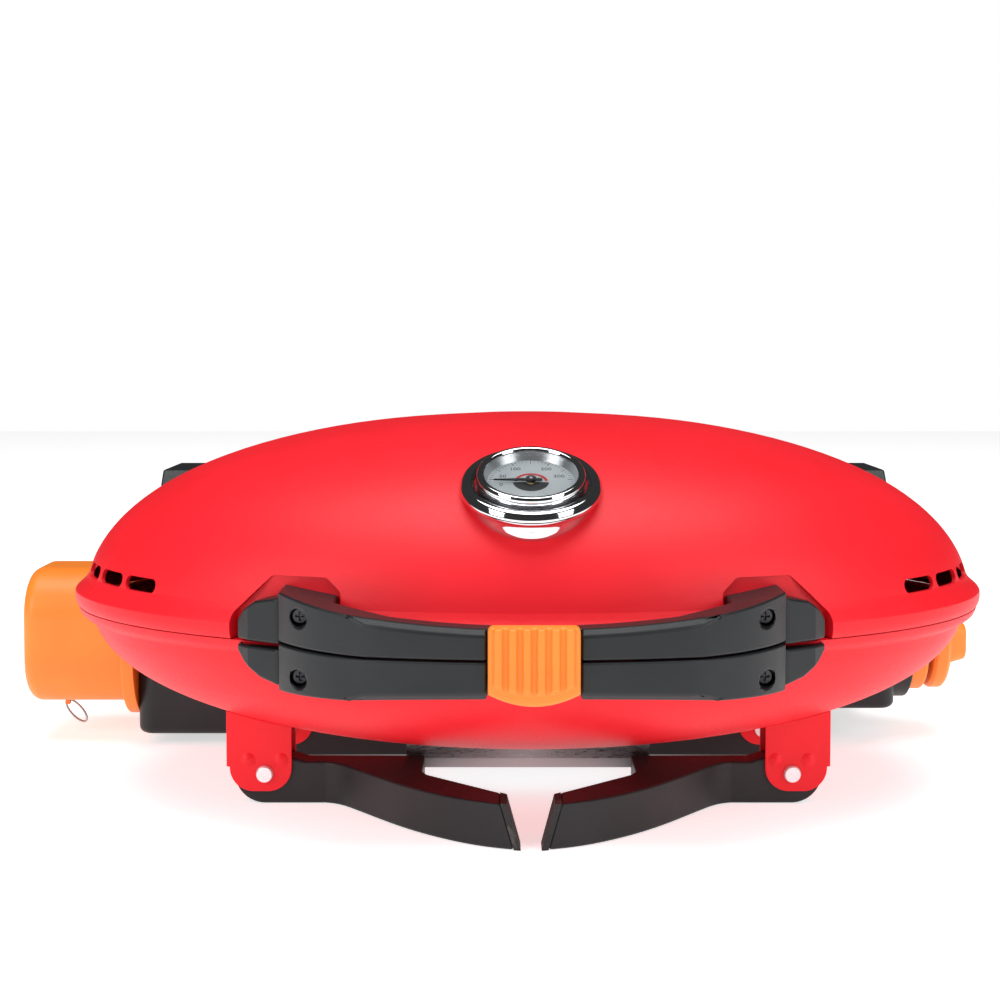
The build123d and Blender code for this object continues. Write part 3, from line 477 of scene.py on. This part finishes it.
def latch():
    """Ribbed rocker with a rounded lobe at its foot, and its two pivot ears."""
    low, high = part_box("latch")
    columns, rows = 132, 72
    top = high.z / MM
    bottom = low.z / MM
    build = bmesh.new()
    grids = []
    for face_y in (LATCH_FRONT, LATCH_BACK):
        grid = []
        for row in range(rows + 1):
            share = row / rows
            line = []
            for column in range(columns + 1):
                x = LATCH_HALF * (2 * column / columns - 1)
                foot = bottom + 6.4 * (x / LATCH_HALF) ** 2
                head = top - edge_drop(LATCH_HALF - abs(x), 3.0)
                z = foot + (head - foot) * share
                y = face_y
                if face_y == LATCH_FRONT:
                    rim = min(LATCH_HALF - abs(x), z - foot, head - z)
                    y += edge_drop(rim, 2.2) - rib_rise(x, share) * (rim > 0.2)
                line.append(build.verts.new((x * MM, y * MM, z * MM)))
            grid.append(line)
        grids.append(grid)
    front, back = grids
    for row in range(rows):
        for column in range(columns):
            for grid in grids:
                build.faces.new((grid[row][column], grid[row][column + 1], grid[row + 1][column + 1],
                                 grid[row + 1][column]))
    for row in range(rows):
        for column in (0, columns):
            build.faces.new((front[row][column], front[row + 1][column], back[row + 1][column],
                             back[row][column]))
    for column in range(columns):
        for row in (0, rows):
            build.faces.new((front[row][column], front[row][column + 1], back[row][column + 1],
                             back[row][column]))
    bmesh.ops.recalc_face_normals(build, faces=build.faces)
    plate = add_piece("latch_rocker", build, "orange_plastic", "latch", smooth=50)
    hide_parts("latch")
    pivot = Vector(joint("latch_rock")["pos_m"])
    turn = Matrix.Rotation(math.radians(90), 4, "Y")
    for side in (-1, 1):
        at = Matrix.Translation(pivot + Vector((side * EAR_X * MM, 0, 0))) @ turn
        hand = "left" if side < 0 else "right"
        roll = lathe([(1.65, -2.4), (4.3, -2.4), (4.4, -2.0), (4.4, 2.0), (4.3, 2.4), (1.65, 2.4)], 48)
        ear = add_piece(f"latch_ear_{hand}", roll, "orange_plastic", "latch", at)
        arm = bmesh.new()
        spot = Matrix.Translation(pivot + Vector((side * EAR_X * MM, -5.9 * MM, 0)))
        shape = Matrix.Diagonal((4.6 * MM, 4.4 * MM, 7.4 * MM, 1))
        bmesh.ops.create_cube(arm, size=1, matrix=spot @ shape)
        bmesh.ops.bevel(arm, geom=arm.edges, offset=0.5 * MM, segments=2, affect="EDGES")
        strut = add_piece(f"latch_arm_{hand}", arm, "orange_plastic", "latch")


# ---------------------------------------------------------------- bracket dimples

DIMPLE_REACH = 13.5      # from the rivet's axis, in millimetres


def bracket_dimples():
    """Two pressed bumps over the rivet on the outer cheek of each leg bracket."""
    for corner, end in (("front_left", -1), ("front_right", -1), ("rear_left", 1), ("rear_right", 1)):
        low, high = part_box(f"leg_bracket_{corner}")
        pivot = Vector(joint(f"{corner}_leg_fold")["pos_m"])
        face = low.y if end < 0 else high.y
        facing = Matrix.Rotation(math.radians(-90 * end), 4, "X")
        for name, lean in (("inner", -50), ("outer", 50)):
            turn = math.radians(lean)
            reach = DIMPLE_REACH * MM
            spot = Vector((pivot.x + reach * math.sin(turn), face, pivot.z + reach * math.cos(turn)))
            dome = lathe([(0.01, 1.7), (1.4, 1.55), (2.8, 1.05), (3.9, 0.45), (4.7, 0.0),
                          (4.7, -0.5), (0.01, -0.5)], 48)
            bump = add_piece(f"bracket_bump_{name}_{corner}", dome, "red_enamel", "base",
                             Matrix.Translation(spot) @ facing)


# ---------------------------------------------------------------- stage

def floor():
    """Seamless pale sheet under and behind the grill."""
    mesh = bpy.data.meshes.new("floor")
    half = 4.0
    mesh.from_pydata([(-half, -half, 0), (half, -half, 0), (half, half, 0), (-half, half, 0)], [],
                     [(0, 1, 2, 3)])
    sheet = bpy.data.objects.new("floor", mesh)
    sheet.location.z = cad_box[0][2] - 0.0002
    bpy.context.collection.objects.link(sheet)
    pale = surface("studio_floor", (0.86, 0.86, 0.86), (0.84, 0.84, 0.84), (0.82, 0.82, 0.82),
                   (0.7, 0.8), 0.01, 0.00001, wear=0.8, Emission_Color=(1, 1, 1, 1),
                   Emission_Strength=0.6)
    mesh.materials.append(pale)


def softbox(name, place_at, aim, size, power, colour=(1, 1, 1)):
    """Rectangular area light aimed at a point."""
    data = bpy.data.lights.new(name, "AREA")
    data.shape = "RECTANGLE"
    data.size, data.size_y = size
    data.energy = power
    data.color = colour
    lamp = bpy.data.objects.new(name, data)
    lamp.location = place_at
    lamp.rotation_euler = (Vector(aim) - Vector(place_at)).to_track_quat("-Z", "Y").to_euler()
    bpy.context.collection.objects.link(lamp)


def lights():
    """Bright room, darker in reflections, with three large soft lights."""
    world = bpy.data.worlds.new("studio")
    world.use_nodes = True
    tree = world.node_tree
    background = tree.nodes["Background"]
    background.inputs["Color"].default_value = (1, 1, 1, 1)
    seen = node(tree, "ShaderNodeLightPath")
    plain = spread(tree, seen.outputs["Is Camera Ray"], 0, 1, 0.30, 1.0)
    mirrored = spread(tree, seen.outputs["Is Glossy Ray"], 0, 1, 0.0, 0.26)
    tree.links.new(combine(tree, "SUBTRACT", plain, mirrored), background.inputs["Strength"])
    bpy.context.scene.world = world
    bpy.context.scene.view_settings.view_transform = "Standard"
    softbox("overhead", (0, -0.4, 3.2), (0, 0, 0), (3.2, 1.9), 95)
    softbox("left", (-1.5, -1.4, 1.0), (0, 0, 0.1), (0.8, 1.2), 17)
    softbox("right", (1.5, -1.4, 1.0), (0, 0, 0.1), (0.8, 1.2), 15)


def camera():
    """Camera a little above the lid's top, looking slightly down."""
    data = bpy.data.cameras.new("camera")
    data.lens = 61.67
    data.sensor_width = 36.0
    view = bpy.data.objects.new("camera", data)
    data.shift_y = -0.078
    view.location = (-0.0179, -1.138, 0.297)
    view.rotation_euler = (math.radians(90 - 3), 0, 0)
    bpy.context.collection.objects.link(view)
    bpy.context.scene.camera = view


dress_frame()
thermometer()
latch()
bracket_dimples()
floor()
lights()
camera()
